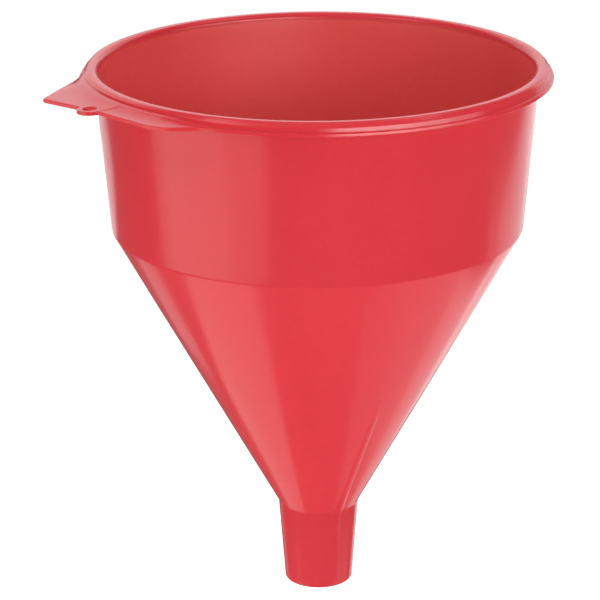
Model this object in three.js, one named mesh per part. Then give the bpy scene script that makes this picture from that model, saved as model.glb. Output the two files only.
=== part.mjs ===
// Six-quart polyethylene funnel with a rolled lip, a hang tab and a lift-out strainer.
//
// Units are millimetres, +Z is up and the funnel's axis is the Z axis. The origin is
// on the axis at the plane where the cone turns into the spout, which is where the
// funnel comes to rest on a filler neck. The hang tab points towards -X and -Y.
//
// The funnel itself is one moulding. It is described here zone by zone, so that each
// zone is a simple solid of revolution, extrusion or slab. The zones meet face to face
// with a small parting gap. The strainer is a separate assembly that drops into the cone.

import * as THREE from 'three';

// ---------------------------------------------------------------- driving dimensions
const GAP = 0.3;                // clearance between solids that meet face to face

const RIM_R = 124.0;            // outer radius of the flange under the rolled lip
const CREST_Z = 250.0;          // top of the rolled lip
const FLANGE_TOP = 244.2;       // top face of the flange, and of the hang tab
const FLANGE_T = 2.0;           // thickness of the flange
const LIP_BOTTOM = 236.2;       // where the lip zone gives way to the plain wall

const WALL = 2.3;               // bowl and cone wall
const BOWL_TOP_R = 115.75;      // outer radius of the bowl just under the lip
const BREAK_Z = 161.6;          // height of the edge between bowl and cone
const BREAK_R = 109.9;          // outer radius there
const NECK_R = 22.05;           // outer radius where the cone meets the spout
const TIP_Z = -47.0;            // free end of the spout
const TIP_R = 18.65;            // outer radius at the free end
const SPOUT_WALL = 2.0;

const TAB_T = 2.0;              // hang tab thickness
const TAB_HOLE_R = 3.3;
const TAB_EYE_R = 6.3;          // eyelet of material around the hole
const TAB_HOLE = [-113.4, -74.3];

const RIB_W = 2.4;              // vent rib width
const RIB_H = 0.9;              // how far a vent rib stands off the cone
const RIB_AZ = [30, 210];       // azimuths, from -Y towards +X, in degrees
const RIB_TOP_Z = 78.0;         // where a rib runs out on the cone

const STRAINER_Z = 31.5;        // underside of the strainer's rim
const STRAINER_H = 5.0;         // height of the strainer's rim
const STRAINER_T = 1.2;         // its sheet thickness
const GAUZE_T = 0.8;

const SEG = 64;                 // facets around the large rings
const SEG_SMALL = 48;           // facets around the spout and the strainer

// slopes of the two walls, as change in radius per millimetre of height
const BOWL_SLOPE = (BOWL_TOP_R - BREAK_R) / (LIP_BOTTOM - BREAK_Z);
const CONE_SLOPE = (BREAK_R - NECK_R) / BREAK_Z;
const SPOUT_SLOPE = (NECK_R - TIP_R) / -TIP_Z;

// horizontal thickness of a wall that leans by the given slope
const across = (t, slope) => t * Math.hypot(1, slope);

const bowlOuter = (z) => BREAK_R + (z - BREAK_Z) * BOWL_SLOPE;
const bowlInner = (z) => bowlOuter(z) - across(WALL, BOWL_SLOPE);
const coneOuter = (z) => NECK_R + z * CONE_SLOPE;
const coneInner = (z) => coneOuter(z) - across(WALL, CONE_SLOPE);
const spoutOuter = (z) => NECK_R + z * SPOUT_SLOPE;
const spoutInner = (z) => spoutOuter(z) - across(SPOUT_WALL, SPOUT_SLOPE);

// ---------------------------------------------------------------- materials
const polyethylene = (name) => {
  const m = new THREE.MeshStandardMaterial({ color: 0xd8343c, roughness: 0.32, metalness: 0.0 });
  m.name = name;
  return m;
};
const brass = (name, roughness) => {
  const m = new THREE.MeshStandardMaterial({ color: 0xb8924a, roughness, metalness: 1.0 });
  m.name = name;
  return m;
};

// ---------------------------------------------------------------- shape helpers
// A ring: the closed section, given as [radius, height] pairs in either direction,
// turned about Z.
function ring(section, segments) {
  let area = 0;
  section.forEach(([r, z], i) => {
    const [r2, z2] = section[(i + 1) % section.length];
    area += r * z2 - r2 * z;
  });
  const loop = area > 0 ? section.slice() : section.slice().reverse();
  loop.push(loop[0]);
  const g = new THREE.LatheGeometry(loop.map(([r, z]) => new THREE.Vector2(r, z)), segments);
  g.rotateX(Math.PI / 2);
  return g;
}

const group = new THREE.Group();
group.name = 'funnel';

function add(name, geometry, material, parent = group) {
  const mesh = new THREE.Mesh(geometry, material);
  mesh.name = name;
  parent.add(mesh);
  return mesh;
}

// unit vector at an azimuth measured from -Y towards +X
const radial = (deg) => {
  const a = (deg * Math.PI) / 180;
  return [Math.sin(a), -Math.cos(a)];
};

// ---------------------------------------------------------------- moulding: rolled lip
// The wall flares out over the crest and comes down again as a skirt, which ends in a
// thin flange. The roll is open underneath, as a moulded lip is.
{
  const f = FLANGE_TOP;
  const section = [
    [bowlInner(LIP_BOTTOM) , LIP_BOTTOM],
    [bowlOuter(LIP_BOTTOM) , LIP_BOTTOM],
    [bowlOuter(f + 0.6), f + 0.6],
    [117.1, f + 2.5],
    [118.1, f + 2.7],
    [118.5, f + 1.6],
    [118.8, f - FLANGE_T],
    [RIM_R - 0.6, f - FLANGE_T],
    [RIM_R, f - FLANGE_T + 0.7],
    [RIM_R, f - 0.7],
    [RIM_R - 0.7, f],
    [122.2, f],
    [121.6, f + 0.5],
    [120.8, f + 2.9],
    [120.1, f + 4.5],
    [119.5, f + 5.4],
    [118.6, CREST_Z],
    [117.3, CREST_Z],
    [116.0, f + 5.1],
    [115.0, f + 3.8],
    [bowlInner(f + 1.0), f + 1.0],
  ];
  add('rim_lip', ring(section, SEG), polyethylene('rim_lip'));
}

// ---------------------------------------------------------------- moulding: bowl wall
{
  const lo = BREAK_Z + GAP / 2, hi = LIP_BOTTOM - GAP;
  add('bowl_wall', ring([
    [bowlInner(lo), lo], [bowlOuter(lo), lo], [bowlOuter(hi), hi], [bowlInner(hi), hi],
  ], SEG), polyethylene('bowl_wall'));
}

// ---------------------------------------------------------------- moulding: cone wall
{
  const lo = GAP / 2, hi = BREAK_Z - GAP / 2;
  add('cone_wall', ring([
    [coneInner(lo), lo], [coneOuter(lo), lo], [coneOuter(hi), hi], [coneInner(hi), hi],
  ], SEG), polyethylene('cone_wall'));
}

// ---------------------------------------------------------------- moulding: spout
{
  const hi = -GAP / 2;
  add('spout', ring([
    [spoutInner(TIP_Z), TIP_Z], [spoutOuter(TIP_Z), TIP_Z],
    [spoutOuter(hi), hi], [spoutInner(hi), hi],
  ], SEG_SMALL), polyethylene('spout'));
}

// ---------------------------------------------------------------- moulding: hang tab
// A flat slab at the height of the flange. Its outer edge turns a little at the hang hole,
// where an eyelet bulges from it, and its sides run out along the flange.
{
  const inner = RIM_R + GAP;
  const back = [-138.8, -54.2];
  const front = [-85.1, -103.7];
  const unit = (p, q) => {
    const l = Math.hypot(q[0] - p[0], q[1] - p[1]);
    return [(q[0] - p[0]) / l, (q[1] - p[1]) / l];
  };
  const dirBack = unit(back, TAB_HOLE);    // the outer edge turns a little at the hole
  const dir = unit(TAB_HOLE, front);

  const shape = new THREE.Shape();
  const a0 = Math.atan2(-11.5, -Math.sqrt(inner * inner - 11.5 * 11.5));
  const a1 = Math.atan2(-109.9, -Math.sqrt(inner * inner - 109.9 * 109.9));
  shape.moveTo(inner * Math.cos(a0), inner * Math.sin(a0));
  shape.lineTo(-132.6, -36.0);
  shape.lineTo(back[0] + 0.5, back[1] + 1.4);
  shape.lineTo(back[0] + 0.1, back[1] + 0.2);
  shape.lineTo(back[0] + dirBack[0] * 1.4, back[1] + dirBack[1] * 1.4);
  const e0 = Math.atan2(-dirBack[1], -dirBack[0]);
  const e1 = Math.atan2(dir[1], dir[0]) + Math.PI * 2;
  for (let i = 0; i <= 12; i++) {
    const t = e0 + ((e1 - e0) * i) / 12;
    shape.lineTo(TAB_HOLE[0] + TAB_EYE_R * Math.cos(t), TAB_HOLE[1] + TAB_EYE_R * Math.sin(t));
  }
  shape.lineTo(front[0] - dir[0] * 4, front[1] - dir[1] * 4);
  shape.lineTo(-84.2, -104.3);
  shape.lineTo(-80.2, -107.2);
  shape.lineTo(-75.0, -109.0);
  shape.lineTo(-68.0, -109.9);
  shape.lineTo(inner * Math.cos(a1), inner * Math.sin(a1));
  for (let i = 1; i < 14; i++) {
    const a = a1 + ((a0 - a1) * i) / 14;
    shape.lineTo(inner * Math.cos(a), inner * Math.sin(a));
  }
  shape.closePath();
  const hole = new THREE.Path();
  hole.absarc(TAB_HOLE[0], TAB_HOLE[1], TAB_HOLE_R, 0, Math.PI * 2, true);
  shape.holes.push(hole);

  const g = new THREE.ExtrudeGeometry(shape, { depth: TAB_T, bevelEnabled: false, curveSegments: 24 });
  g.translate(0, 0, FLANGE_TOP - TAB_T);
  add('hang_tab', g, polyethylene('hang_tab'));
}

// ---------------------------------------------------------------- moulding: vent ribs
// Each rib runs down the cone and the spout and bridges the corner between them, so
// that air can leave the vessel past the spout.
RIB_AZ.forEach((azimuth, i) => {
  const drop = 10;
  const outline = [
    [coneOuter(RIB_TOP_Z) + GAP, RIB_TOP_Z],
    [coneOuter(RIB_TOP_Z - drop) + GAP + RIB_H, RIB_TOP_Z - drop],
    [coneOuter(14) + GAP + RIB_H, 14],
    [coneOuter(0) + GAP + RIB_H + 1.4, 0.4],
    [spoutOuter(-12) + GAP + RIB_H, -12],
    [spoutOuter(TIP_Z + 3) + GAP + RIB_H - 0.2, TIP_Z + 3],
    [spoutOuter(TIP_Z + 1) + GAP, TIP_Z + 1],
    [spoutOuter(-0.2) + GAP, -0.2],
    [coneOuter(0.6) + GAP, 0.6],
  ];
  const shape = new THREE.Shape(outline.map(([r, z]) => new THREE.Vector2(r, z)));
  const g = new THREE.ExtrudeGeometry(shape, { depth: RIB_W, bevelEnabled: false });
  g.translate(0, 0, -RIB_W / 2);
  g.rotateX(Math.PI / 2);                  // the outline's second axis becomes Z
  const [ux, uy] = radial(azimuth);
  g.rotateZ(Math.atan2(uy, ux));
  add(i === 0 ? 'vent_rib_front' : 'vent_rib_rear', g, polyethylene(`vent_rib_${i + 1}`));
});

// ---------------------------------------------------------------- strainer
// A pressed brass rim whose outside follows the cone, a disc of woven gauze held in it,
// and a folded tab to lift it out by.
const strainer = new THREE.Group();
strainer.name = 'strainer';
group.add(strainer);
{
  const lo = STRAINER_Z, hi = STRAINER_Z + STRAINER_H;
  const outer = (z) => coneInner(z) - GAP;
  const ledge = 3.2;                       // inward flange that holds the gauze
  add('strainer_rim', ring([
    [outer(lo) - ledge, lo], [outer(lo), lo], [outer(hi), hi],
    [outer(hi) - STRAINER_T, hi], [outer(lo + 1.1) - STRAINER_T, lo + 1.1],
    [outer(lo) - ledge, lo + 1.1],
  ], SEG_SMALL), brass('strainer_rim', 0.35), strainer);

  const z0 = lo + 1.1 + GAP, gr = outer(z0) - STRAINER_T - GAP - 0.2;
  add('strainer_gauze', ring([
    [0, z0], [gr, z0], [gr, z0 + GAUZE_T], [0, z0 + GAUZE_T],
  ], SEG_SMALL), brass('strainer_gauze', 0.55), strainer);

  const zt = z0 + GAUZE_T + GAP;
  const tab = new THREE.Shape();
  const x0 = outer(zt) - STRAINER_T - GAP - 0.9;
  tab.moveTo(-x0, zt);
  tab.lineTo(-x0 + 7.5, zt);
  tab.lineTo(-x0 + 7.5, zt + 0.8);
  tab.lineTo(-x0 + 0.8, zt + 0.8);
  tab.lineTo(-x0 + 0.2, zt + 13.5);
  tab.lineTo(-x0 + 4.0, zt + 16.0);
  tab.lineTo(-x0 + 3.6, zt + 16.7);
  tab.lineTo(-x0 - 0.6, zt + 14.0);
  tab.closePath();
  const g = new THREE.ExtrudeGeometry(tab, { depth: 12, bevelEnabled: false });
  g.translate(0, 0, -6);
  g.rotateX(Math.PI / 2);
  add('strainer_lift_tab', g, brass('strainer_lift_tab', 0.35), strainer);
}

export default group;
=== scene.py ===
import math

import bmesh
import bpy
import numpy as np
from mathutils import Matrix, Vector


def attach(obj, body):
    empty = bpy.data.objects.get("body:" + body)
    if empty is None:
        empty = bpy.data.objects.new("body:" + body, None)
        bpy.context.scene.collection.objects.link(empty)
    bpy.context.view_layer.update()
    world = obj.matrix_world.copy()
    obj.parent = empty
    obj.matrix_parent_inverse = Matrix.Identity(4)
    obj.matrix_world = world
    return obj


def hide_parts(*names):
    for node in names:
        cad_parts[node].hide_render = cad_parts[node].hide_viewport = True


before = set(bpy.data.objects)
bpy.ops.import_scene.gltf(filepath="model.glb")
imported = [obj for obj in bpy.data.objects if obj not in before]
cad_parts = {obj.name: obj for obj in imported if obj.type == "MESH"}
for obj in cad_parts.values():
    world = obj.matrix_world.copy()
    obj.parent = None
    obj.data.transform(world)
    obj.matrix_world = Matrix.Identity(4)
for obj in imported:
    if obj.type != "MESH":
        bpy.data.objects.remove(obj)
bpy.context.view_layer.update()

MM = 0.001
scene = bpy.context.scene
scene.view_settings.view_transform = "Standard"


# --------------------------------------------------------------------------- camera
# The view of the reference: about 20 degrees above the horizon, a long lens.
CAM_E, CAM_ROLL, CAM_F = 0.3405640, 0.0064780, 2422.99
CAM_POS = Vector((-0.0095395, -1.2380463, 0.3112009 + 0.2442))


def make_camera():
    data = bpy.data.cameras.new("camera")
    cam = bpy.data.objects.new("camera", data)
    scene.collection.objects.link(cam)
    ce, se = math.cos(CAM_E), math.sin(CAM_E)
    cr, sr = math.cos(CAM_ROLL), math.sin(CAM_ROLL)
    up, right, fwd = Vector((0, se, ce)), Vector((1, 0, 0)), Vector((0, ce, -se))
    x = right * cr - up * sr
    y = right * sr + up * cr
    z = -fwd
    m = Matrix(((x[0], y[0], z[0]), (x[1], y[1], z[1]), (x[2], y[2], z[2]))).to_4x4()
    m.translation = CAM_POS
    cam.matrix_world = m
    data.sensor_width = 36.0
    data.lens = 36.0 * CAM_F / 600.0
    data.clip_start, data.clip_end = 0.05, 60.0
    scene.camera = cam
    return cam


make_camera()

# --------------------------------------------------------------------------- sizes, mm
RIM_R, CREST_Z, FLANGE_TOP, FLANGE_T, LIP_BOTTOM = 124.0, 250.0, 244.2, 2.0, 236.2
WALL, BOWL_TOP_R, BREAK_Z, BREAK_R = 2.3, 115.75, 161.6, 109.9
NECK_R, TIP_Z, TIP_R, SPOUT_WALL = 22.05, -47.0, 18.65, 2.0
RIB_AZ, RIB_H, RIB_TOP_Z = (30.0, 210.0), 0.42, 79.0
TAB_HOLE, TAB_HOLE_R, TAB_EYE_R = np.array([-113.4, -74.3]), 3.3, 6.3

S_BOWL = (BOWL_TOP_R - BREAK_R) / (LIP_BOTTOM - BREAK_Z)
S_CONE = (BREAK_R - NECK_R) / BREAK_Z
S_SPOUT = (NECK_R - TIP_R) / -TIP_Z


def bowl_o(z):
    return BREAK_R + (z - BREAK_Z) * S_BOWL


def cone_o(z):
    return NECK_R + z * S_CONE


def spout_o(z):
    return NECK_R + z * S_SPOUT


def bowl_i(z):
    return bowl_o(z) - WALL * math.hypot(1, S_BOWL)


def cone_i(z):
    return cone_o(z) - WALL * math.hypot(1, S_CONE)


def spout_i(z):
    return spout_o(z) - SPOUT_WALL * math.hypot(1, S_SPOUT)


def meet(f, g):
    """Height where two straight radius functions meet."""
    return (g(0) - f(0)) / ((f(1) - f(0)) - (g(1) - g(0)))


# --------------------------------------------------------------------------- 2D paths
def rounded(corners, closed=False):
    """A path through 2D corners (a, b, fillet radius, steps, spacing to the next corner). Returns the points."""
    n = len(corners)
    out = []
    ends = []
    for i, (a, b, rad, steps, _) in enumerate(corners):
        p = np.array([a, b], float)
        if rad <= 0 or (not closed and i in (0, n - 1)):
            ends.append(([p], p, p))
            continue
        q = np.array(corners[(i - 1) % n][:2], float)
        r = np.array(corners[(i + 1) % n][:2], float)
        u, v = q - p, r - p
        lu, lv = np.linalg.norm(u), np.linalg.norm(v)
        u, v = u / lu, v / lv
        ang = math.acos(max(-1, min(1, float(u @ v))))
        d = rad / math.tan(ang / 2)
        d = min(d, 0.62 * lu, 0.62 * lv)
        rr = d * math.tan(ang / 2)
        c = p + (u + v) / np.linalg.norm(u + v) * (rr / math.sin(ang / 2))
        s, e = p + u * d, p + v * d
        a0 = math.atan2(*(s - c)[::-1])
        a1 = math.atan2(*(e - c)[::-1])
        da = (a1 - a0 + math.pi) % (2 * math.pi) - math.pi
        arc = [c + rr * np.array([math.cos(a0 + da * k / steps), math.sin(a0 + da * k / steps)]) for k in range(steps + 1)]
        ends.append((arc, s, e))
    m = n if closed else n - 1
    for i in range(n):
        out.extend(ends[i][0])
        if i < m:
            s, e = ends[i][2], ends[(i + 1) % n][1]
            gap = corners[i][4]
            k = max(1, int(math.ceil(np.linalg.norm(e - s) / gap))) if gap else 1
            out.extend(s + (e - s) * j / k for j in range(1, k))
    return np.array(out)


# --------------------------------------------------------------------------- the tab's outline
def tab_outline():
    """Points in plan from the flange behind the tab to the flange in front of it, and the outward normals."""
    back, front, foot = np.array([-138.6, -54.2]), np.array([-85.1, -103.7]), TAB_HOLE
    d1 = (foot - back) / np.linalg.norm(foot - back)
    d2 = (front - foot) / np.linalg.norm(front - foot)
    out1, out2 = np.array([d1[1], -d1[0]]), np.array([d2[1], -d2[0]])
    f = 1.5
    w = math.sqrt((TAB_EYE_R + f) ** 2 - f * f)
    tilt = math.atan2(f, w)
    rad = lambda az: RIM_R * np.array([math.sin(math.radians(az)), -math.cos(math.radians(az))])
    a_back, a_front = -85.0, -27.6
    pts = []

    def bezier(p, c, q, n):
        return [(1 - t) ** 2 * p + 2 * t * (1 - t) * c + t * t * q for t in np.linspace(0, 1, n + 1)]

    # behind: leave the flange's circle smoothly
    root = rad(a_back)
    side = back - root
    side /= np.linalg.norm(side)
    pts += bezier(rad(a_back - 3.2), root, root + side * 7.0, 8)
    body = rounded([
        (*(root + side * 7.0), 0, 1, 4.0),
        (back[0], back[1], 2.2, 12, 4.0),
        (*(foot - d1 * w), 0, 1, 0),
    ])
    pts += list(body[1:-1])
    pts += [foot + d1 * (-w + f * math.cos(t)) + out1 * (f + f * math.sin(t)) for t in np.linspace(-math.pi / 2, -tilt, 7)]
    c0 = math.atan2(d1[1], d1[0]) - math.pi + tilt
    c1 = math.atan2(d2[1], d2[0]) - tilt
    pts += [foot + TAB_EYE_R * np.array([math.cos(t), math.sin(t)]) for t in np.linspace(c0, c1, 25)[1:-1]]
    pts += [foot + d2 * (w + f * math.cos(t)) + out2 * (f + f * math.sin(t)) for t in np.linspace(math.pi + tilt, 1.5 * math.pi, 7)]
    end = rad(a_front)
    corner = np.array([-83.2, -105.6])
    turn = np.array([-73.6, -110.2])
    body = rounded([
        (*(foot + d2 * w), 0, 1, 4.0),
        (*corner, 9.0, 8, 3.0),
        (*turn, 14.0, 6, 3.0),
        (*(end + (turn - end) / np.linalg.norm(turn - end) * 5.0), 0, 1, 0),
    ])
    pts += list(body[1:-1])
    pts += bezier(end + (turn - end) / np.linalg.norm(turn - end) * 5.0, end, rad(a_front + 2.6), 7)
    pts = np.array(pts)
    keep = [0]
    for i in range(1, len(pts)):
        if np.linalg.norm(pts[i] - pts[keep[-1]]) > 0.12:
            keep.append(i)
    pts = pts[keep]
    tan = np.gradient(pts, axis=0)
    tan /= np.linalg.norm(tan, axis=1)[:, None]
    nrm = np.stack([tan[:, 1], -tan[:, 0]], 1)
    if float((nrm[0] @ (pts[0] / np.linalg.norm(pts[0])))) < 0:
        nrm = -nrm
    return pts, nrm, a_back - 3.2, a_front + 2.6


# --------------------------------------------------------------------------- mesh helpers
def new_object(name, verts, faces, scale=MM):
    mesh = bpy.data.meshes.new(name)
    mesh.from_pydata([tuple(float(c) * scale for c in v) for v in verts], [], [tuple(int(i) for i in f) for f in faces])
    mesh.validate()
    obj = bpy.data.objects.new(name, mesh)
    scene.collection.objects.link(obj)
    return obj


def shade(obj, degrees=38.0):
    mesh = obj.data
    mesh.polygons.foreach_set("use_smooth", [True] * len(mesh.polygons))
    mesh.set_sharp_from_angle(angle=math.radians(degrees))
    mesh.update()


def outward(obj):
    bm = bmesh.new()
    bm.from_mesh(obj.data)
    bmesh.ops.recalc_face_normals(bm, faces=bm.faces)
    bm.to_mesh(obj.data)
    bm.free()


def apply_modifiers(obj):
    dg = bpy.context.evaluated_depsgraph_get()
    mesh = bpy.data.meshes.new_from_object(obj.evaluated_get(dg))
    old = obj.data
    obj.modifiers.clear()
    obj.data = mesh
    bpy.data.meshes.remove(old)


def boolean(obj, cutter, operation="DIFFERENCE"):
    mod = obj.modifiers.new("cut", "BOOLEAN")
    mod.object = cutter
    mod.operation = operation
    mod.solver = "EXACT"
    apply_modifiers(obj)
    mesh = cutter.data
    bpy.data.objects.remove(cutter)
    bpy.data.meshes.remove(mesh)


def lathe(name, section, segments, scale=MM, centre=(0, 0)):
    """A closed solid of revolution from a closed section of (radius, height). Points on the axis become poles."""
    verts, rows = [], []
    for r, z in section:
        if abs(r) < 1e-9:
            rows.append([len(verts)] * segments)
            verts.append((centre[0], centre[1], z))
        else:
            row = []
            for k in range(segments):
                a = 2 * math.pi * k / segments
                row.append(len(verts))
                verts.append((centre[0] + r * math.cos(a), centre[1] + r * math.sin(a), z))
            rows.append(row)
    faces = []
    n = len(rows)
    closed = not (abs(section[0][0]) < 1e-9 and abs(section[-1][0]) < 1e-9)
    for i in range(n if closed else n - 1):
        p, q = rows[i], rows[(i + 1) % n]
        for k in range(segments):
            j = (k + 1) % segments
            f = [p[k], p[j], q[j], q[k]]
            f = [v for m, v in enumerate(f) if v not in f[:m]]
            if len(f) > 2:
                faces.append(f)
    obj = new_object(name, verts, faces, scale)
    outward(obj)
    return obj


# --------------------------------------------------------------------------- the moulding
def smooth(t):
    t = max(0.0, min(1.0, t))
    return t * t * (3 - 2 * t)


def rib_height(z):
    """How far a vent rib stands off the outer wall at a height."""
    if z > RIB_TOP_Z or z < TIP_Z + 0.8:
        return 0.0
    h = RIB_H * smooth((RIB_TOP_Z - z) / 13.0)
    h += 1.2 * math.exp(-((z - 0.5) / 8.5) ** 2)
    h *= smooth((z - (TIP_Z + 0.8)) / 2.2)
    return h


RIB_ACROSS = [0.0, 0.45, 0.82, 1.12, 1.40, 1.68, 1.98, 2.35, 2.9, 3.6]
RIB_SHAPE = [1.0, 0.97, 0.88, 0.73, 0.54, 0.33, 0.15, 0.04, 0.0, 0.0]


LIP_Z = CREST_Z - 1.0         # the crest is softened down from the section's top


def tab_rise(az):
    """How far the tab's top sweeps up the lip bead where the two join, in mm, at an azimuth in degrees."""
    def ease(t):
        t = min(max(t, 0.0), 1.0)
        return t * t * (3 - 2 * t)
    a = (az + 180) % 360 - 180
    return 2.6 * ease((a + 90) / 9) * ease((-22 - a) / 17)


def make_moulding():
    zi_break = meet(bowl_i, cone_i)
    zi_neck = meet(cone_i, spout_i)
    f = FLANGE_TOP
    fb = f - FLANGE_T

    # the wall's section up the outside, as far as the underside of the flange
    outside = rounded([
        (spout_o(TIP_Z) - 0.9, TIP_Z, 0, 1, 0),
        (spout_o(TIP_Z), TIP_Z, 0.55, 4, 1.6),
        (NECK_R, 0.0, 2.4, 6, 2.6),
        (cone_o(92.0), 92.0, 0, 1, 5.5),
        (BREAK_R, BREAK_Z, 4.4, 9, 6.0),
        (bowl_o(f + 2.8), f + 2.8, 0.95, 5, 0),
        (118.65, f + 2.8, 0.95, 5, 0),
        (118.95, fb, 0.5, 3, 0),
        (119.9, fb, 0, 1, 0),
    ])
    # from the top of the flange over the crest and down the inside to the tip
    inside = rounded([
        (122.9, f, 0, 1, 0),
        (122.45, f, 0.25, 3, 0.9),
        (121.75, f + 2.5, 1.5, 7, 0),
        (119.7, LIP_Z, 1.5, 8, 0),
        (bowl_i(LIP_Z), LIP_Z, 3.0, 9, 7.0),
        (bowl_i(zi_break), zi_break, 3.2, 6, 9.0),
        (spout_i(zi_neck), zi_neck, 3.0, 5, 6.0),
        (spout_i(TIP_Z), TIP_Z, 0.5, 4, 0),
        (spout_i(TIP_Z) + 0.7, TIP_Z, 0, 1, 0),
    ])
    tab_pts, tab_nrm, az0, az1 = tab_outline()

    # columns round the axis: across each rib, along the tab's outline, and evenly elsewhere
    cols = []          # (kind, rib azimuth or share between ribs, offset in mm, outline index)
    across = [-x for x in RIB_ACROSS[:0:-1]] + RIB_ACROSS
    shape = RIB_SHAPE[:0:-1] + RIB_SHAPE
    edge = RIB_ACROSS[-1]
    d_rim = math.degrees(edge / RIM_R)
    step = 1.8

    def between(start, stop):
        n = int(round((stop - start) / step))
        return [start + (stop - start) * (k + 0.5) / n for k in range(n)]

    lo, hi = RIB_AZ[0] + d_rim, RIB_AZ[1] - d_rim
    for w, s in zip(across, shape):
        cols.append(("rib", RIB_AZ[0], w, s, None))
    for az in between(lo, hi):
        cols.append(("plain", 0, (az - lo) / (hi - lo), 0, None))
    for w, s in zip(across, shape):
        cols.append(("rib", RIB_AZ[1], w, s, None))
    lo2, hi2 = RIB_AZ[1] + d_rim, RIB_AZ[0] + 360 - d_rim
    for az in between(lo2, az0 + 360 - 0.4):
        cols.append(("plain", 1, (az - lo2) / (hi2 - lo2), 0, None))
    run = np.concatenate([[0], np.cumsum(np.linalg.norm(np.diff(tab_pts, axis=0), axis=1))])
    run /= run[-1]
    for k, s in enumerate(run):
        az = az0 + 360 + (az1 - az0) * s
        cols.append(("plain", 1, (az - lo2) / (hi2 - lo2), 0, k))
    for az in between(az1 + 360 + 0.4, hi2):
        cols.append(("plain", 1, (az - lo2) / (hi2 - lo2), 0, None))

    def azimuth(col, r):
        kind, which, x, _, _ = col
        dr = math.degrees(edge / max(r, 10.0))
        if kind == "rib":
            return which + math.degrees(x / max(r, 10.0))
        a, b = (RIB_AZ[0], RIB_AZ[1]) if which == 0 else (RIB_AZ[1], RIB_AZ[0] + 360)
        return (a + dr) + ((b - dr) - (a + dr)) * x

    def at(col, r, z, lift=0.0):
        a = math.radians(azimuth(col, r))
        return ((r + lift) * math.sin(a), -(r + lift) * math.cos(a), z)

    er = 0.38                             # rounding of the flange's and tab's edge
    tilt = 0.42                           # the flange's edge leans in towards its top; the tab's edge is upright
    n_top, n_bot, n_edge = 9, 7, 4
    rings = []
    for r, z in outside:
        row = []
        for c in cols:
            lift = c[3] * rib_height(z) if c[0] == "rib" and z < 100 else 0.0
            row.append(at(c, r, z, lift))
        rings.append(row)
    # underside of the flange and the tab, from the skirt outwards, then the edge, then the top
    base_lo, base_hi = outside[-1][0], inside[0][0]

    def outline(c):
        if c[4] is None:
            a = math.radians(azimuth(c, RIM_R))
            n = np.array([math.sin(a), -math.cos(a)])
            return n * RIM_R, n
        return tab_pts[c[4]], tab_nrm[c[4]]

    out_of = [outline(c) for c in cols]
    for k in range(1, n_bot + 1):
        row = []
        for c, (o, n) in zip(cols, out_of):
            b = np.array(at(c, base_lo, 0)[:2])
            e = o - n * er
            p = b + (e - b) * (k / n_bot)
            row.append((p[0], p[1], fb))
        rings.append(row)
    leans = [n * (tilt if c[4] is None else 0.0) for c, (o, n) in zip(cols, out_of)]
    for k in range(1, 2 * n_edge + 1):
        half = k <= n_edge
        t = (k / n_edge if half else (k - n_edge) / n_edge) * math.pi / 2
        row = []
        for lean, (o, n) in zip(leans, out_of):
            if half:
                p, z = o - n * er * (1 - math.sin(t)), fb + er * (1 - math.cos(t))
            else:
                p, z = o - lean - n * er * (1 - math.cos(t)), f - er * (1 - math.sin(t))
            row.append((p[0], p[1], z))
        rings.append(row)
        if k == n_edge:                   # the face of the edge
            for u in (0.5, 1.0):
                rings.append([(x - v[0] * u, y - v[1] * u, z + (f - er - z) * u) for (x, y, z), v in zip(row, leans)])
    for k in range(n_top - 1, -1, -1):
        row = []
        for c, lean, (o, n) in zip(cols, leans, out_of):
            b = np.array(at(c, base_hi, 0)[:2])
            e = o - lean - n * er
            p = b + (e - b) * (k / n_top)
            run_out = max(1 - math.hypot(*(p - b)) / min(14.0, math.hypot(*(e - b))), 0.0)
            row.append((p[0], p[1], f + tab_rise(azimuth(c, RIM_R)) * run_out ** 2))
        rings.append(row)
    for i, (r, z) in enumerate(inside[1:]):
        if r > 119.0 and z > f - 0.1:     # the bead's outer face is lower where the tab sweeps up to it
            rings.append([at(c, r, z + tab_rise(azimuth(c, RIM_R)) * (LIP_Z - z) / (LIP_Z - f)) for c in cols])
        else:
            rings.append([at(c, r, z) for c in cols])

    m, n = len(cols), len(rings)
    verts = [p for row in rings for p in row]
    faces = []
    for i in range(n):
        a, b = i * m, ((i + 1) % n) * m
        for j in range(m):
            k = (j + 1) % m
            faces.append((a + j, a + k, b + k, b + j))
    obj = new_object("funnel_moulding", verts, faces)
    bm = bmesh.new()
    bm.from_mesh(obj.data)
    bmesh.ops.remove_doubles(bm, verts=bm.verts, dist=1e-7)
    bmesh.ops.dissolve_degenerate(bm, dist=1e-7, edges=bm.edges)
    bmesh.ops.recalc_face_normals(bm, faces=bm.faces)
    bm.to_mesh(obj.data)
    bm.free()

    # the hang hole, with its edges rounded over
    r0, e = TAB_HOLE_R, 0.5
    sec = [(0, fb - 2), (r0 + e + 0.05, fb - 2), (r0 + e + 0.05, fb - 0.02)]
    sec += [(r0 + e - e * math.cos(t), fb + e - e * math.sin(t)) for t in np.linspace(math.pi / 2, 0, 5)]
    sec += [(r0 + e - e * math.cos(t), f - e + e * math.sin(t)) for t in np.linspace(0, math.pi / 2, 5)]
    sec += [(r0 + e + 0.05, f + 0.02), (r0 + e + 0.05, f + 2), (0, f + 2)]
    cutter = lathe("cutter", sec, 40, centre=tuple(TAB_HOLE))
    boolean(obj, cutter)
    shade(obj, 40)
    return obj


moulding = make_moulding()
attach(moulding, "funnel")
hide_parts("rim_lip", "bowl_wall", "cone_wall", "spout", "hang_tab", "vent_rib_front", "vent_rib_rear")


# --------------------------------------------------------------------------- the strainer
STRAINER_Z, STRAINER_H, STRAINER_T, LEDGE = 31.5, 5.0, 1.2, 3.2
GAUZE_Z, GAUZE_T = STRAINER_Z + 1.4, 0.8


def ring_o(z):
    return cone_i(z) - 0.3


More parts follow.
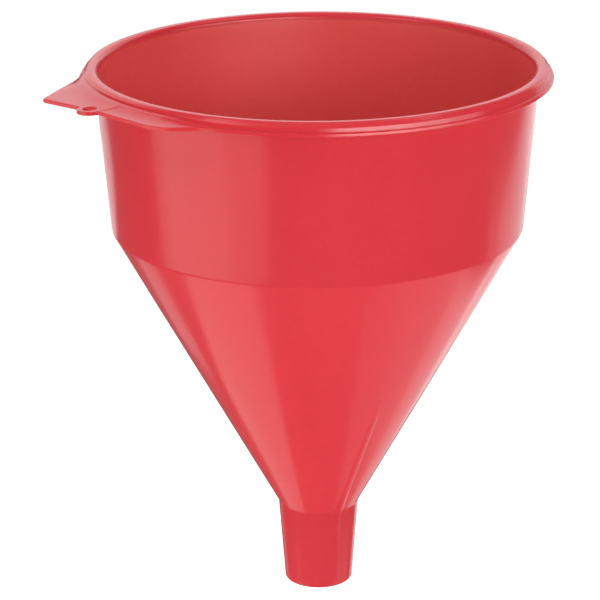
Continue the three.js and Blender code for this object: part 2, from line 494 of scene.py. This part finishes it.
def make_strainer_rim():
    """Pressed sheet: an inward ledge under the gauze, a wall that follows the cone and a curled top edge."""
    lo, hi = STRAINER_Z, STRAINER_Z + STRAINER_H
    t = 0.75
    r_in = ring_o(lo) - LEDGE
    sec = rounded([
        (r_in, lo, 0.35, 4, 0),
        (ring_o(lo + 0.3) - 0.25, lo, 1.0, 6, 0),
        (ring_o(hi - 0.9) + 0.0, hi - 0.9, 0.3, 2, 0.8),
        (ring_o(hi - 0.1), hi, 0.42, 5, 0),
        (ring_o(hi) - STRAINER_T, hi, 0.42, 5, 0),
        (ring_o(hi) - STRAINER_T - 0.15, hi - 1.05, 0.3, 4, 0),
        (ring_o(hi - 1.2) - t - 0.1, hi - 1.15, 0.25, 3, 0.8),
        (ring_o(lo + t) - t - 0.6, lo + t, 0.9, 5, 0),
        (r_in, lo + t, 0.35, 4, 0),
    ], closed=True)
    obj = lathe("pressed_strainer_rim", sec, 192)
    # crimps that pinch the ledge on to the gauze
    for v in obj.data.vertices:
        x, y, z = (c / MM for c in v.co)
        r, a = math.hypot(x, y), math.atan2(y, x)
        k = math.cos(a * 28) ** 8
        w = math.exp(-((r - (r_in + 1.1)) / 0.75) ** 2)
        v.co.z += MM * 0.28 * k * w
    outward(obj)
    shade(obj, 35)
    return obj


def make_gauze():
    """Plain weave: two sets of round wires that pass over and under each other, cut to a disc."""
    pitch, wire, sides = 1.6, 0.17, 5
    radius = ring_o(GAUZE_Z) - STRAINER_T - 0.55
    mid = GAUZE_Z + GAUZE_T / 2
    verts, faces = [], []
    n = int(radius // pitch)
    rng = np.random.default_rng(4)
    for axis in (0, 1):
        for i in range(-n, n + 1):
            across = i * pitch + 0.03 * rng.standard_normal()
            half = math.sqrt(max(0.0, radius ** 2 - across ** 2)) - 0.05
            if half < pitch:
                continue
            steps = max(8, int(2 * half / (pitch / 4)))
            start = len(verts)
            for k in range(steps + 1):
                s = -half + 2 * half * k / steps
                phase = math.pi * (s / pitch) + math.pi * i + (math.pi / 2 if axis else -math.pi / 2) * 0
                sign = 1 if axis == 0 else -1
                z = mid + sign * 0.19 * math.cos(phase)
                slope = -sign * 0.19 * math.pi / pitch * math.sin(phase)
                nx, nz = -slope, 1.0
                ln = math.hypot(nx, nz)
                nx, nz = nx / ln, nz / ln
                for q in range(sides):
                    t = 2 * math.pi * q / sides
                    u, v = wire * math.cos(t), wire * math.sin(t)
                    along, side, up = s + nx * v, across + u, z + nz * v
                    verts.append((along, side, up) if axis == 0 else (side, along, up))
            for k in range(steps):
                for q in range(sides):
                    p = start + k * sides + q
                    p2 = start + k * sides + (q + 1) % sides
                    faces.append((p, p2, p2 + sides, p + sides))
            faces.append(tuple(start + q for q in range(sides)))
            faces.append(tuple(start + steps * sides + q for q in reversed(range(sides))))
    obj = new_object("woven_strainer_gauze", verts, faces)
    outward(obj)
    shade(obj, 60)
    return obj


def make_lift_tab():
    """A strip of brass with a foot on the gauze, bent up along the cone and over at the top, with a finger hole."""
    zt = GAUZE_Z + GAUZE_T + 0.3
    x0 = ring_o(zt) - STRAINER_T - 0.3 - 0.9
    t, width = 0.78, 12.0
    path = rounded([
        (-x0 + 7.4, zt + 0.4, 0, 1, 0),
        (-x0 + 0.45, zt + 0.4, 1.1, 7, 0.8),
        (-x0 - 0.10, zt + 13.7, 1.6, 8, 0.8),
        (-x0 + 3.6, zt + 16.15, 0, 1, 0),
    ])
    seg = np.linalg.norm(np.diff(path, axis=0), axis=1)
    run = np.concatenate([[0], np.cumsum(seg)])
    total = run[-1]
    tan = np.gradient(path, axis=0)
    tan /= np.linalg.norm(tan, axis=1)[:, None]
    nrm = np.stack([-tan[:, 1], tan[:, 0]], 1)
    # finer samples near both ends, where the strip's corners are rounded
    stations = sorted(set(list(np.round(run, 4)) + [round(v, 4) for v in 2.6 * (1 - np.cos(np.linspace(0.12, math.pi / 2, 7)))]
                          + [round(total - v, 4) for v in 2.6 * (1 - np.cos(np.linspace(0.12, math.pi / 2, 7)))]))
    verts, faces, rows = [], [], []
    e = 0.16
    loop = [(-1, -t / 2 + e, 0), (-1, t / 2 - e, 0), (-1, t / 2, e), (1, t / 2, e), (1, t / 2 - e, 0), (1, -t / 2 + e, 0), (1, -t / 2, e), (-1, -t / 2, e)]
    for s in stations:
        p = np.array([np.interp(s, run, path[:, 0]), np.interp(s, run, path[:, 1])])
        nn = np.array([np.interp(s, run, nrm[:, 0]), np.interp(s, run, nrm[:, 1])])
        nn /= np.linalg.norm(nn)
        c = 2.6
        half = width / 2
        for end in (s, total - s):
            if end < c:
                half = min(half, width / 2 - c + math.sqrt(max(0.0, c * c - (c - end) ** 2)))
        row = []
        for side, v, inset in loop:
            row.append(len(verts))
            q = p + nn * v
            verts.append((q[0], side * (half - inset), q[1]))
        rows.append(row)
    for a, b in zip(rows, rows[1:]):
        for k in range(len(loop)):
            j = (k + 1) % len(loop)
            faces.append((a[k], a[j], b[j], b[k]))
    faces.append(tuple(rows[0]))
    faces.append(tuple(reversed(rows[-1])))
    obj = new_object("folded_lift_tab", verts, faces)
    outward(obj)
    # a hole near the top for a hooked wire
    hz = zt + 9.3
    cut = lathe("cutter", [(0, -3), (2.3, -3), (2.3, 3), (0, 3)], 32)
    cut.data.transform(Matrix.Translation(Vector((-x0 * MM, 0, hz * MM))) @ Matrix.Rotation(math.pi / 2, 4, "Y"))
    boolean(obj, cut)
    # two spots where the foot is soldered to the gauze
    for y in (-3.2, 3.2):
        sec = [(0, zt + 1.02)] + [(1.35 * math.sin(u), zt + 0.6 + 0.42 * math.cos(u)) for u in np.linspace(0.3, math.pi / 2, 6)]
        sec += [(1.35, zt + 0.5), (0, zt + 0.5)]
        dome = lathe("dome", sec, 20, centre=(-x0 + 4.6, y))
        boolean(obj, dome, "UNION")
    shade(obj, 35)
    return obj


rim_piece, gauze_piece, tab_piece = make_strainer_rim(), make_gauze(), make_lift_tab()
for piece, node_name, slot_name in (
        (rim_piece, "strainer_rim", "strainer_brass"),
        (gauze_piece, "strainer_gauze", "strainer_gauze"),
        (tab_piece, "strainer_lift_tab", "strainer_brass")):
    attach(piece, "strainer")
    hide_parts(node_name)


# --------------------------------------------------------------------------- materials
def principled(name):
    mat = bpy.data.materials.new(name)
    mat.use_nodes = True
    return mat, mat.node_tree, mat.node_tree.nodes["Principled BSDF"]


def red_polyethylene():
    """Moulded polyethylene: even colour with faint cloudiness, a fine mould grain and a slightly waxy gloss."""
    mat, nt, bsdf = principled("red_polyethylene")
    node, link = nt.nodes.new, nt.links.new
    coord = node("ShaderNodeTexCoord")

    def noise(scale, detail, rough=0.5, distort=0.0, stretch=(1, 1, 1)):
        m = node("ShaderNodeMapping")
        m.inputs["Scale"].default_value = stretch
        link(coord.outputs["Object"], m.inputs["Vector"])
        n = node("ShaderNodeTexNoise")
        n.inputs["Scale"].default_value = scale
        n.inputs["Detail"].default_value = detail
        n.inputs["Roughness"].default_value = rough
        n.inputs["Distortion"].default_value = distort
        link(m.outputs["Vector"], n.inputs["Vector"])
        return n.outputs["Fac"]

    def ramp(src, stops):
        r = node("ShaderNodeValToRGB")
        r.color_ramp.elements[0].position, r.color_ramp.elements[0].color = stops[0][0], (*stops[0][1], 1)
        r.color_ramp.elements[1].position, r.color_ramp.elements[1].color = stops[-1][0], (*stops[-1][1], 1)
        for p, c in stops[1:-1]:
            r.color_ramp.elements.new(p).color = (*c, 1)
        link(src, r.inputs["Fac"])
        return r.outputs["Color"]

    def span(src, a, b, c, d):
        m = node("ShaderNodeMapRange")
        for k, v in zip(("From Min", "From Max", "To Min", "To Max"), (a, b, c, d)):
            m.inputs[k].default_value = v
        link(src, m.inputs["Value"])
        return m.outputs["Result"]

    # pigment: clouds that follow the flow of the melt up the wall, and a fine mottle
    flow = noise(9.0, 3.0, 0.55, 0.6, (1, 1, 0.35))
    tone = ramp(flow, [(0.3, BASE_LO), (0.5, BASE_MID), (0.72, BASE_HI)])
    mottle = span(noise(300.0, 2.0), 0.1, 0.9, 0.96, 1.04)
    mul = node("ShaderNodeMix")
    mul.data_type, mul.blend_type = "RGBA", "MULTIPLY"
    mul.inputs["Factor"].default_value = 1.0
    link(tone, mul.inputs[6])
    link(mottle, mul.inputs[7])
    # the inner face was moulded on a rougher core, so it is more matt and a little paler; most of its paler, brighter
    # colour is painted light, standing in for light and haze that the lamps don't bring inside
    sep = node("ShaderNodeSeparateXYZ")
    link(coord.outputs["Object"], sep.inputs[0])

    def calc(op, x, y=None):
        m = node("ShaderNodeMath")
        m.operation = op
        for k, v in enumerate((x, y)):
            if v is None:
                continue
            if isinstance(v, (int, float)):
                m.inputs[k].default_value = v
            else:
                link(v, m.inputs[k])
        return m.outputs[0]

    radius = calc("SQRT", calc("ADD", calc("MULTIPLY", sep.outputs[0], sep.outputs[0]),
                               calc("MULTIPLY", sep.outputs[1], sep.outputs[1])))
    wall = calc("MINIMUM", calc("ADD", calc("MULTIPLY", sep.outputs[2], S_CONE), NECK_R * MM),
                calc("ADD", calc("MULTIPLY", sep.outputs[2], S_BOWL), bowl_o(0) * MM))
    wall = calc("MAXIMUM", wall, calc("ADD", calc("MULTIPLY", sep.outputs[2], S_SPOUT), NECK_R * MM))
    depth = calc("SUBTRACT", wall, radius)
    within = span(depth, 0.0008, 0.0016, 0.0, 1.0)
    below = span(sep.outputs[2], 0.2445, 0.2475, 1.0, 0.0)
    inner = calc("MULTIPLY", within, below)
    # painted light: the inner face's colour is mixed towards a paler, brighter copy of the red
    inner_painted_light_mix = node("ShaderNodeMix")
    inner_painted_light_mix.data_type = "RGBA"
    link(inner, inner_painted_light_mix.inputs["Factor"])
    link(mul.outputs[2], inner_painted_light_mix.inputs[6])
    inner_painted_light_tint = node("ShaderNodeMix")
    inner_painted_light_tint.data_type, inner_painted_light_tint.blend_type = "RGBA", "MULTIPLY"
    inner_painted_light_tint.inputs["Factor"].default_value = 1.0
    link(mul.outputs[2], inner_painted_light_tint.inputs[6])
    inner_painted_light_tint.inputs[7].default_value = INNER_TINT_AND_PAINTED_LIGHT
    link(inner_painted_light_tint.outputs[2], inner_painted_light_mix.inputs[7])
    link(inner_painted_light_mix.outputs[2], bsdf.inputs["Base Color"])

    # gloss: slightly uneven, with a few dull handling marks
    rub = span(noise(11.0, 2.0, 0.4, 0.5), 0.30, 0.80, 0.0, 0.04)
    grain = span(noise(70.0, 1.0), 0.1, 0.9, ROUGH - 0.01, ROUGH + 0.02)
    add = node("ShaderNodeMath")
    add.operation = "ADD"
    link(rub, add.inputs[0])
    link(grain, add.inputs[1])
    link(calc("ADD", add.outputs[0], calc("MULTIPLY", inner, 0.14)), bsdf.inputs["Roughness"])

    # surface: the mould's fine texture over a very slight waviness of the wall
    fine = node("ShaderNodeBump")
    fine.inputs["Strength"].default_value = 0.05
    fine.inputs["Distance"].default_value = 0.0002
    link(noise(1400.0, 3.0, 0.6), fine.inputs["Height"])
    wave = node("ShaderNodeBump")
    wave.inputs["Strength"].default_value = 0.10
    wave.inputs["Distance"].default_value = 0.0012
    link(noise(34.0, 1.0, 0.4, 0.2, (1, 1, 0.5)), wave.inputs["Height"])
    link(wave.outputs["Normal"], fine.inputs["Normal"])
    link(fine.outputs["Normal"], bsdf.inputs["Normal"])
    bsdf.inputs["IOR"].default_value = 1.5
    bsdf.inputs["Subsurface Weight"].default_value = 0.0
    return mat


ROUGH = 0.15
BASE_LO, BASE_MID, BASE_HI = (0.545, 0.0235, 0.0335), (0.565, 0.0265, 0.0365), (0.585, 0.0295, 0.0405)
# painted light: how far the inside's colour is raised, standing in for light and haze that don't reach it
INNER_TINT_AND_PAINTED_LIGHT = (1.26, 3.15, 2.2, 1)
def brass(name, bright, dark, rough, grain):
    """Sheet or wire brass: tarnish in soft patches, darker in the recesses of the noise, fine drawing lines."""
    mat, nt, bsdf = principled(name)
    node, link = nt.nodes.new, nt.links.new
    coord = node("ShaderNodeTexCoord")
    bsdf.inputs["Metallic"].default_value = 1.0

    def noise(scale, detail, stretch=(1, 1, 1)):
        m = node("ShaderNodeMapping")
        m.inputs["Scale"].default_value = stretch
        link(coord.outputs["Object"], m.inputs["Vector"])
        n = node("ShaderNodeTexNoise")
        n.inputs["Scale"].default_value = scale
        n.inputs["Detail"].default_value = detail
        link(m.outputs["Vector"], n.inputs["Vector"])
        return n.outputs["Fac"]

    patch = noise(110.0, 5.0)
    r = node("ShaderNodeValToRGB")
    r.color_ramp.elements[0].position, r.color_ramp.elements[0].color = 0.34, (*dark, 1)
    r.color_ramp.elements[1].position, r.color_ramp.elements[1].color = 0.62, (*bright, 1)
    link(patch, r.inputs["Fac"])
    link(r.outputs["Color"], bsdf.inputs["Base Color"])
    m = node("ShaderNodeMapRange")
    for k, v in zip(("From Min", "From Max", "To Min", "To Max"), (0.3, 0.7, rough + 0.16, rough)):
        m.inputs[k].default_value = v
    link(patch, m.inputs["Value"])
    link(m.outputs["Result"], bsdf.inputs["Roughness"])
    b = node("ShaderNodeBump")
    b.inputs["Strength"].default_value = 0.12
    b.inputs["Distance"].default_value = 0.0001
    link(noise(grain, 2.0, (1, 1, 0.12)), b.inputs["Height"])
    link(b.outputs["Normal"], bsdf.inputs["Normal"])
    return mat


SHEET = brass("pressed_brass", (0.76, 0.54, 0.25), (0.46, 0.29, 0.12), 0.24, 2600.0)
WIRE = brass("brass_wire", (0.70, 0.50, 0.25), (0.40, 0.26, 0.12), 0.32, 3400.0)
for piece, finish in ((rim_piece, SHEET), (gauze_piece, WIRE), (tab_piece, SHEET)):
    piece.data.materials.clear()
    piece.data.materials.append(finish)


RED = red_polyethylene()
moulding.data.materials.clear()
moulding.data.materials.append(RED)


# --------------------------------------------------------------------------- studio
def panel(name, centre, target, size, radiance, turn=0.0):
    """A soft box: a rectangular area light of a given radiance, aimed at a point. It isn't seen by the camera."""
    data = bpy.data.lights.new(name, "AREA")
    data.shape = "RECTANGLE"
    data.size, data.size_y = size
    data.energy = radiance * math.pi * size[0] * size[1]
    o = bpy.data.objects.new(name, data)
    scene.collection.objects.link(o)
    o.location = centre
    o.rotation_mode = "QUATERNION"
    q = (Vector(target) - Vector(centre)).to_track_quat("-Z", "Y")
    o.rotation_quaternion = q @ Matrix.Rotation(math.radians(turn), 4, "Z").to_quaternion()
    o.visible_camera = False
    return o


def toward(az, el, dist, base=(0, 0, 0.15)):
    """A point at an azimuth from -Y towards +X and an elevation, in degrees, at a distance from the object."""
    a, e = math.radians(az), math.radians(el)
    return Vector(base) + dist * Vector((math.sin(a) * math.cos(e), -math.cos(a) * math.cos(e), math.sin(e)))


def studio():
    world = bpy.data.worlds.new("studio")
    scene.world = world
    world.use_nodes = True
    bg = world.node_tree.nodes["Background"]
    bg.inputs["Color"].default_value = (1, 1, 1, 1)
    bg.inputs["Strength"].default_value = LIGHT["world"]

    # a white sweep, lit from inside as a light table is; gloss sees the soft boxes and not the floor
    verts = [(-30, -30, -0.9), (30, -30, -0.9), (30, 30, -0.9), (-30, 30, -0.9)]
    floor = new_object("floor", verts, [(0, 1, 2, 3)], 1.0)
    mat, nt, bsdf = principled("floor_paper")
    bsdf.inputs["Base Color"].default_value = (0.9, 0.9, 0.9, 1)
    bsdf.inputs["Roughness"].default_value = 0.9
    bsdf.inputs["Emission Color"].default_value = (1, 1, 1, 1)
    bsdf.inputs["Emission Strength"].default_value = LIGHT["floor"]
    floor.data.materials.append(mat)
    floor.visible_glossy = False
    aim = (0, 0, 0.15)

    # broad fills that light the surface without showing in its gloss
    for name, az, el, dist, size in (("fill_top", -65, 76, 2.0, (2.0, 2.0)), ("fill_left", -75, 20, 2.2, (1.8, 1.8)),
                                     ("fill_right", 70, 20, 2.2, (1.8, 1.8)), ("fill_front", -5, 28, 2.4, (1.8, 1.4)),
                                     ("fill_back", 180, 35, 2.4, (2.0, 1.4))):
        panel(name, toward(az, el, dist), aim, size, LIGHT[name]).visible_glossy = False

    # soft boxes
    def flat(name, x0, x1, y0, y1, z):
        """A soft box that lies flat, facing up."""
        c = ((x0 + x1) / 2, (y0 + y1) / 2, z)
        panel(name, c, (c[0], c[1], z + 1), (x1 - x0, y1 - y0), LIGHT[name])

    panel("strip_left", (-0.786, -0.472, -0.01), (0, 0, -0.01), (1.19, 0.72), LIGHT["strip_left"]).data.color = (1.0, 0.98, 0.86)
    panel("strip_left_inner", (-0.83, -0.387, -0.01), (0, 0, -0.01), (0.62, 0.72), LIGHT["strip_left_inner"])
    panel("under_left", (-0.406, -0.02, -0.5), (-0.406, -0.02, 0.5), (0.40, 0.63), LIGHT["under_left"], turn=25.0).data.color = (1.0, 0.98, 0.88)
    flat("under_left_near", -0.66, -0.47, 0.48, 0.85, -0.5)
    flat("under_right_in", 0.20, 0.35, -0.20, 0.24, -0.5)
    flat("under_right_near", 0.28, 0.60, 0.28, 0.86, -0.5)
    flat("under_right", 0.35, 0.80, -0.35, 0.28, -0.5)
    flat("under_right_far", 0.85, 1.60, 0.42, 0.72, -0.46)
    flat("under_edge_right", 0.55, 1.45, 1.75, 3.0, -0.46)
    flat("under_edge_left", -1.30, -0.60, 1.50, 3.0, -0.46)
    flat("under_back_right", 0.30, 1.55, 0.72, 1.75, -0.46)
    flat("under_far_right", 0.05, 0.45, 1.28, 2.70, -0.46)
    flat("under_far_left", -0.60, -0.28, 1.45, 2.30, -0.46)
    panel("back", (-0.15, 1.7, 1.16), (-0.15, 0, 0.40), (3.9, 1.50), LIGHT["back"])
    panel("back_low_left", (-1.1, 1.5, 0.08), (0, 0, 0.2), (1.1, 0.7), LIGHT["back_low"])
    panel("back_low_right", (1.1, 1.5, 0.08), (0, 0, 0.2), (1.1, 0.7), LIGHT["back_low"])
    panel("key_wide", toward(42, 16, 1.70), aim, (2.7, 0.44), LIGHT["key_wide"])
    panel("key_mid", toward(36, 17, 1.74), aim, (1.8, 0.44), LIGHT["key_mid"])
    panel("key_core", toward(27, 18, 1.78), aim, (1.1, 0.44), LIGHT["key_core"])
    panel("top_left", toward(-60, 50, 1.6), aim, (0.7, 0.5), LIGHT["top_left"])
    panel("top_right", (0.70, 0.0, 1.5), aim, (0.6, 0.5), LIGHT["top_right"])


LIGHT = {
    "world": 0.15, "floor": 0.85, "fill_top": 2.5, "fill_left": 0.1, "fill_right": 0.2, "fill_front": 0.2,
    "fill_back": 0.1, "strip_left": 0.92, "strip_left_inner": 0.45, "under_left": 0.78, "under_left_near": 0.42,
    "under_right_near": 0.75, "under_right": 0.44, "under_right_in": 0.3, "under_right_far": 0.45,
    "under_edge_right": 1.0, "under_edge_left": 0.7, "under_back_right": 0.8, "under_far_right": 1.1,
    "under_far_left": 0.9, "back": 0.95, "back_low": 0.7, "key_wide": 2.0, "key_mid": 2.1, "key_core": 2.0,
    "top_left": 1.9, "top_right": 1.5,
}
studio()
